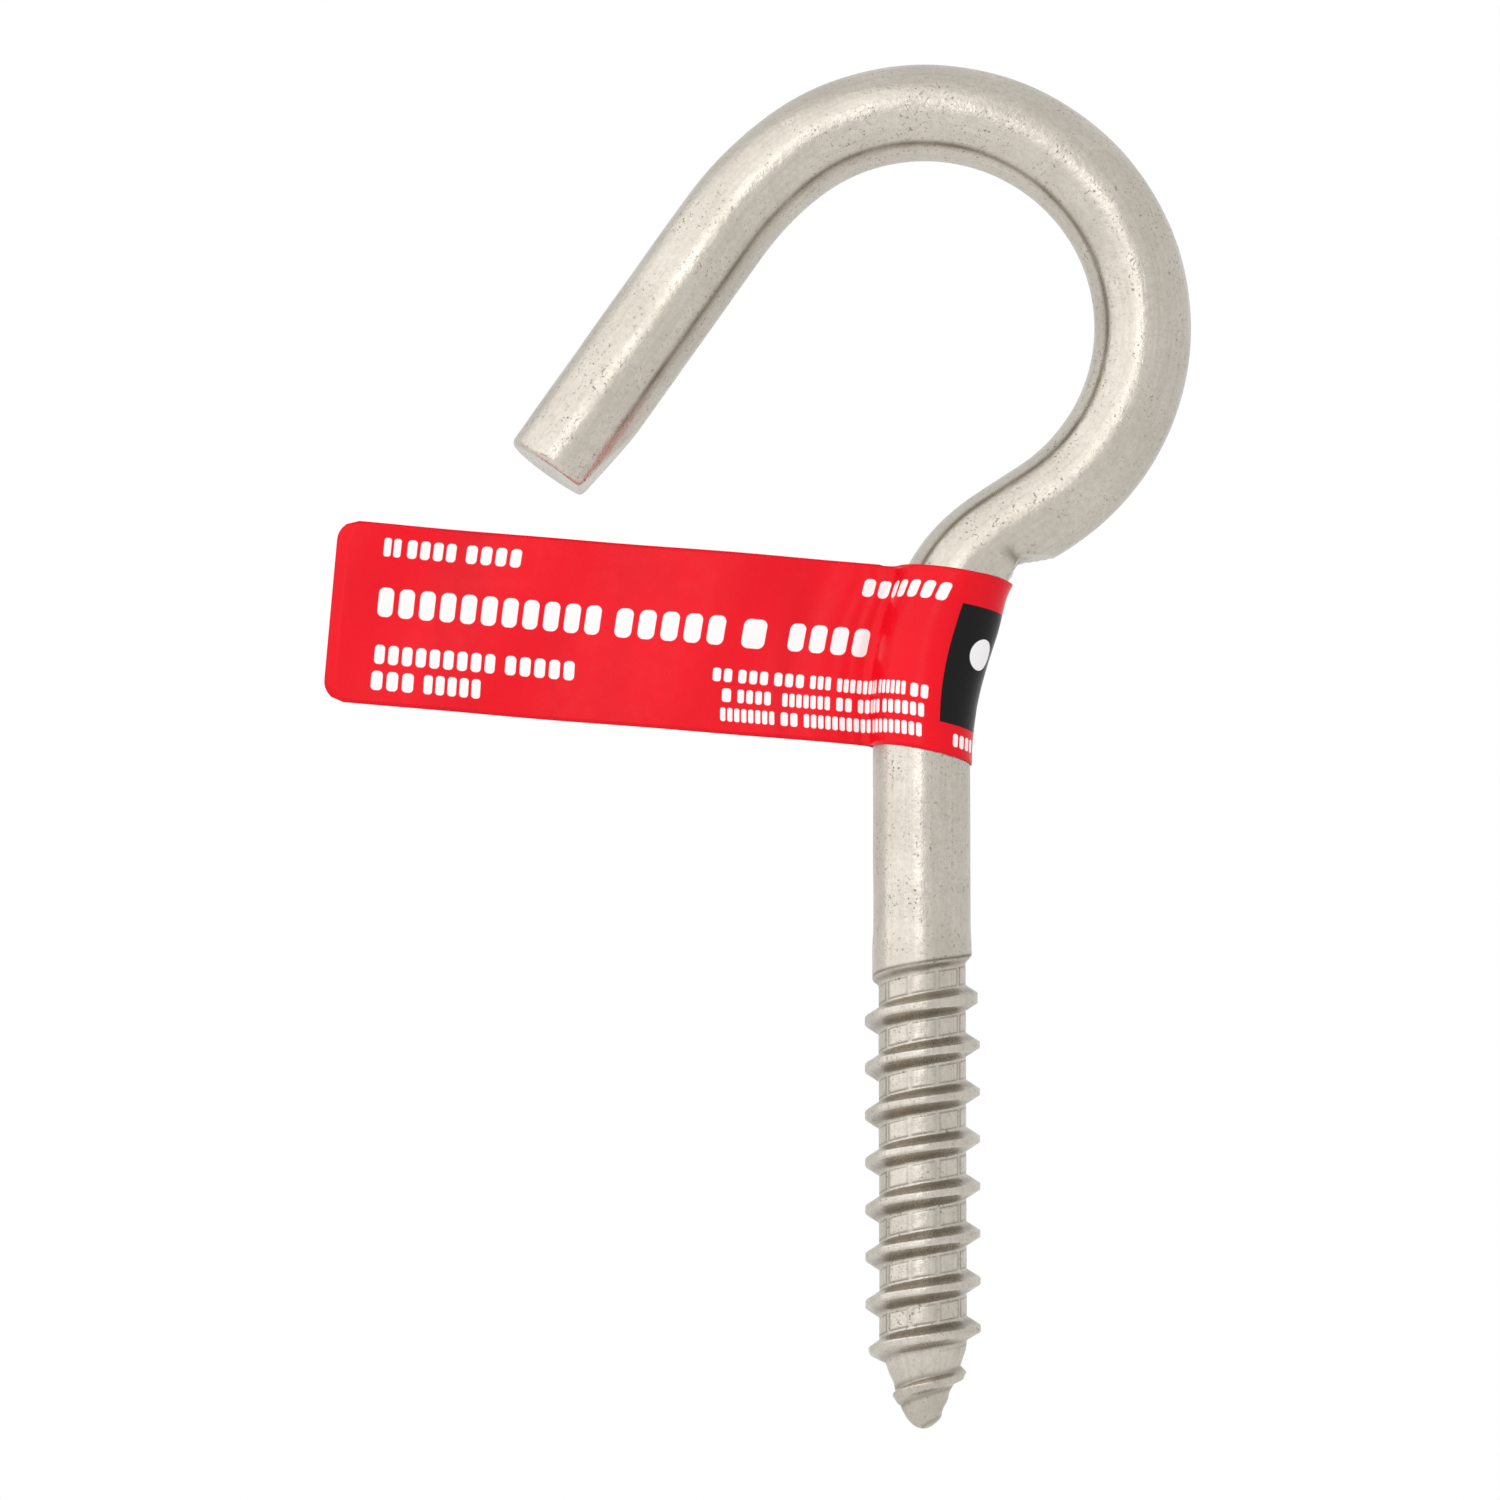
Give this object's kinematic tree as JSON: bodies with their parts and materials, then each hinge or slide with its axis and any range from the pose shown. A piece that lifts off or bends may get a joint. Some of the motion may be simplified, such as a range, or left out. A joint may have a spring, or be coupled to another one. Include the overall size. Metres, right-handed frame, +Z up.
{
  "type": "clothesline screw hook",
  "caption": "Bent steel rod hook with an open bowl, a plain shank and a coarse wood-screw point, with a folded flag label round its neck.",
  "frame": {"origin": "on the screw's axis at the shoulder where the thread begins, which is the wood's surface when the hook is screwed home", "axes": "+Z up the screw's axis from its point to the bowl; +X away from the mouth, so the free end and the flag point along -X; +Y square to the plane that the rod is bent in"},
  "size_m": [0.0675, 0.0088, 0.1063],
  "materials": {
    "stainless_steel": "satin, tumbled",
    "label_film": "gloss printed film"
  },
  "bodies": {
    "root": {"hook": "stainless_steel", "flag_label": "label_film"}
  },
  "joints": []
}
